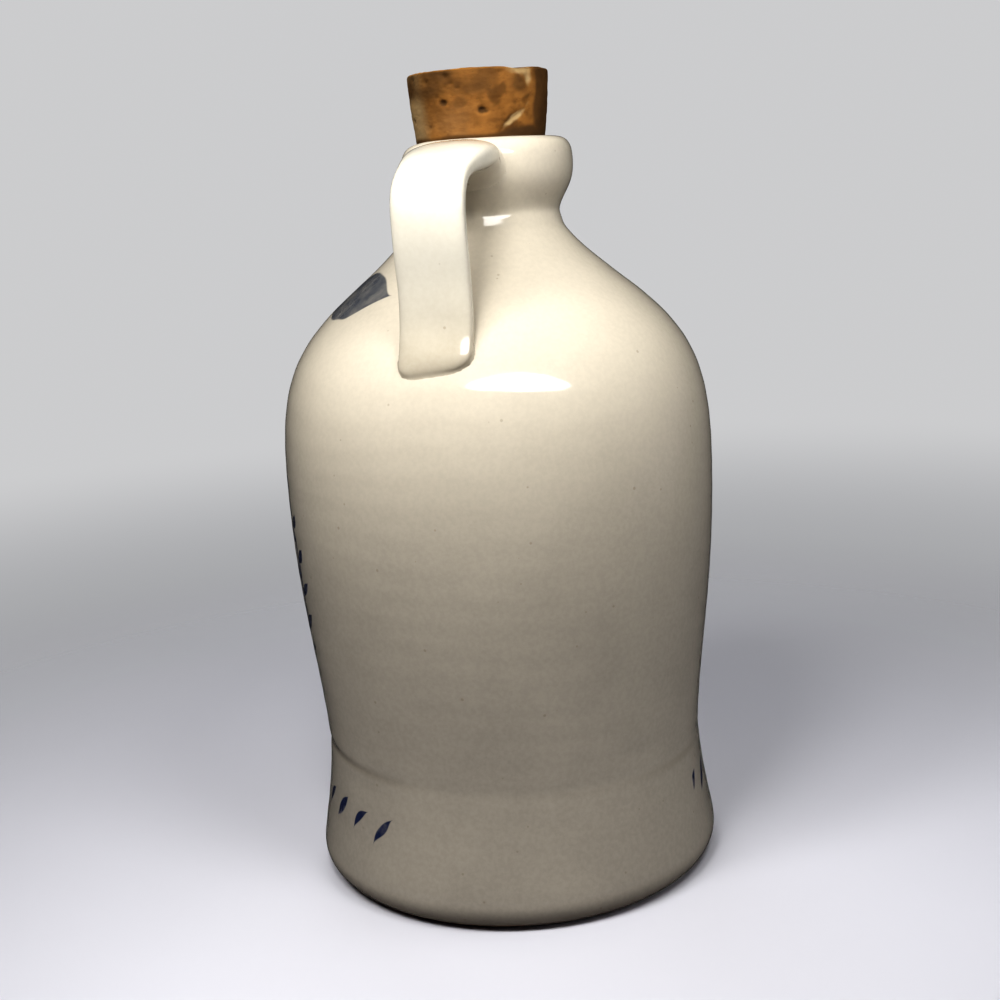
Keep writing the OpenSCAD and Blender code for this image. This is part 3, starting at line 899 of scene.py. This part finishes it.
# The stage in millimetres: a floor, and a wide bowl a little below it
FLOOR_RUNS = (((0, 0), OUT, 1 / 3, (620, 0), OUT, 1 / 3, 30),)
BACKDROP_RUNS = (
    ((0, -6), OUT, 1 / 3, (900, -6), OUT, 1 / 3, 8),
    ((900, -6), OUT, 0.5, (1500, 600), UP, 0.5, 24),
    ((1500, 600), UP, 1 / 3, (1500, 3000), UP, 1 / 3, 6),
)
STAGE_COLUMNS = 96
# Distances from the jug over which the floor fades out, and over which the backdrop's painted light gets
# brighter
FLOOR_FADE, BACKDROP_RISE = (0.13, 0.46), (0.38, 0.95)

# The camera of the photo: place in metres, direction and roll
EYE, AHEAD, ROLL = (0.1259, -0.43906, 0.22022), (-0.27035, 0.93931, -0.21121), math.radians(-3.27)

# The height on the axis that the lights face
LIT_HEIGHT = 0.16
STRIP_SLANT = (0.884, 0.471, -0.173)
# Lights: name, place and size in metres, the power that each takes, and its share of it
LIGHTS = (
    ("strip_light", (0.122, -0.22, 0.331), (0.265, 0.065), "strip_power", 1),
    ("right_light", (0.17, -0.17, 0.41), (0.14, 0.14), "key_power", 0.6),
    ("key_light", (0.005, -0.24, 0.38), (0.1, 0.1), "key_power", 0.68),
    ("left_light", (-0.16, -0.3, 0.46), (0.14, 0.14), "key_power", 1),
    ("left_fill", (-0.45, 0.05, 0.35), (0.4, 0.3), "fill_power", 0.27),
    ("right_fill", (0.45, 0.05, 0.2), (0.4, 0.3), "fill_power", 1),
    ("back_fill", (-0.2, 0.45, 0.4), (0.4, 0.3), "fill_power", 1.5),
)


def aimed_light(name, place, size, power, colour, mirrored):
    """Area light that faces the jug. The mirrored one is slanted and only makes the highlight on the glaze.
    The others lie level and make none."""
    way = (Vector(place) - Vector((0, 0, LIT_HEIGHT))).normalized()
    long = Vector(STRIP_SLANT if mirrored else (1, 0, 0))
    side = (long - long.dot(way) * way).normalized()
    lamp = bpy.data.lights.new(name, "AREA")
    lamp.shape, lamp.size, lamp.size_y = "ELLIPSE", *size
    lamp.energy, lamp.color = power, colour
    light = linked(name, lamp)
    turn = Matrix((side, way.cross(side), way)).transposed().to_4x4()
    light.matrix_world = Matrix.Translation(place) @ turn
    light.visible_camera = False
    light.visible_glossy, light.visible_diffuse = mirrored, not mirrored


def photo_camera(lens):
    """Camera at the place, direction and roll of the photo's."""
    camera = bpy.data.cameras.new("camera")
    camera.sensor_width, camera.lens = 36, lens
    camera.clip_start, camera.clip_end = 0.01, 20
    eye = linked("camera", camera)
    ahead = Vector(AHEAD).normalized()
    level = ahead.cross(Vector((0, 0, 1))).normalized()
    right = math.cos(ROLL) * level + math.sin(ROLL) * level.cross(ahead)
    turn = Matrix((right, right.cross(ahead), -ahead)).transposed().to_4x4()
    eye.matrix_world = Matrix.Translation(EYE) @ turn
    return eye


def floor_material():
    """Pale paper that fades out away from the jug, so that the floor has no edge."""
    finish = Finish("pale_paper")
    colour = finish.mix(finish.noise(3.0), *PAPER)
    there = 1 - finish.from_axis().rise(*FLOOR_FADE)
    relief = finish.bump(finish.noise(240.0), 0.02, 0.2 * MM)
    return finish.surface(colour, 0.75, relief, {"IOR": 1.3, "Alpha": there})


def backdrop_material():
    """Paper with painted light: it glows, brighter further away, and only the camera sees it."""
    finish = Finish("painted_light_backdrop")
    tone = finish.mix(finish.from_axis().rise(*BACKDROP_RISE), *BACKDROP)
    fixed = {"Emission Color": tone, "Emission Strength": 1.0, "Specular IOR Level": 0.0}
    return finish.surface((0, 0, 0, 1), 1.0, finish.bump(finish.noise(20.0), 0.02, 0.2 * MM), fixed)


def revolved_stage(name, runs, material):
    """Outline turned about the axis of the jug, from its first point on the axis."""
    line = chain(runs)[1:]
    azimuth = np.arange(STAGE_COLUMNS) * 360 / STAGE_COLUMNS
    across, up = np.meshgrid(azimuth, line[:, 1])
    rings = ring_places(line[:, :1], up, across)
    points = np.concatenate([rings.reshape(-1, 3), [(0, 0, runs[0][0][1] * MM)]])
    mesh = bpy.data.meshes.new(name)
    faces = grid_faces(*rings.shape[:2]) + fan_faces(len(points) - 1, 0, STAGE_COLUMNS, False)
    mesh.from_pydata(points, [], faces)
    mesh.polygons.foreach_set("use_smooth", np.ones(len(mesh.polygons), bool))
    mesh.materials.append(material)
    piece = linked(name, mesh)
    return piece


class JUG_OT_stage(bpy.types.Operator):
    """Makes the camera, the lights and a plain pale sweep that the jug stands on"""

    bl_idname = "stoneware_jug.stage"
    bl_label = "Make Stage"

    def execute(self, context):
        scene, sizes = context.scene, context.scene.jug_stage
        scene.camera = photo_camera(sizes.lens)
        floor = revolved_stage("pale_floor", FLOOR_RUNS, floor_material())
        floor.visible_glossy = False
        backdrop = revolved_stage("painted_light_backdrop", BACKDROP_RUNS, backdrop_material())
        backdrop.visible_diffuse = backdrop.visible_glossy = backdrop.visible_shadow = False
        for name, place, size, power, share in LIGHTS:
            colour = COOL_LIGHT if power == "fill_power" else WARM_LIGHT
            aimed_light(name, place, size, share * getattr(sizes, power), colour, power == "strip_power")
        world = bpy.data.worlds.new("soft_room")
        world.use_nodes = True
        back = world.node_tree.nodes["Background"]
        back.inputs["Color"].default_value = ROOM_LIGHT
        back.inputs["Strength"].default_value = sizes.room_light
        scene.world = world
        scene.view_settings.view_transform = "Standard"
        scene.view_settings.look = "High Contrast"
        return {"FINISHED"}


class JUG_PT_panel(bpy.types.Panel):
    """The jug's pieces and their sizes"""

    bl_idname = "JUG_PT_panel"
    bl_label = "Stoneware Jug"
    bl_space_type = "VIEW_3D"
    bl_region_type = "UI"
    bl_category = "Stoneware Jug"

    def draw(self, context):
        for group, operator in GROUPS.items():
            box = self.layout.box()
            values = getattr(context.scene, group)
            for name in values.bl_rna.properties.keys():
                if name not in ("rna_type", "name"):
                    box.prop(values, name)
            box.operator(operator)


GROUPS = {
    "jug_stage": "stoneware_jug.stage",
    "jug_body": "stoneware_jug.body",
    "jug_handle": "stoneware_jug.handle",
    "jug_cork": "stoneware_jug.cork",
}
PROPERTIES = (JUG_PG_stage, JUG_PG_body, JUG_PG_handle, JUG_PG_cork)
CLASSES = (*PROPERTIES, JUG_OT_stage, JUG_OT_body, JUG_OT_handle, JUG_OT_cork, JUG_PT_panel)


def register():
    for kind in CLASSES:
        bpy.utils.register_class(kind)
    for group, kind in zip(GROUPS, PROPERTIES):
        setattr(bpy.types.Scene, group, PointerProperty(type=kind))


def unregister():
    for group in GROUPS:
        delattr(bpy.types.Scene, group)
    for kind in reversed(CLASSES):
        bpy.utils.unregister_class(kind)


def main():
    register()
    bpy.ops.stoneware_jug.stage()
    bpy.ops.stoneware_jug.body()
    bpy.ops.stoneware_jug.handle()
    bpy.ops.stoneware_jug.cork()


if __name__ == "__main__":
    main()
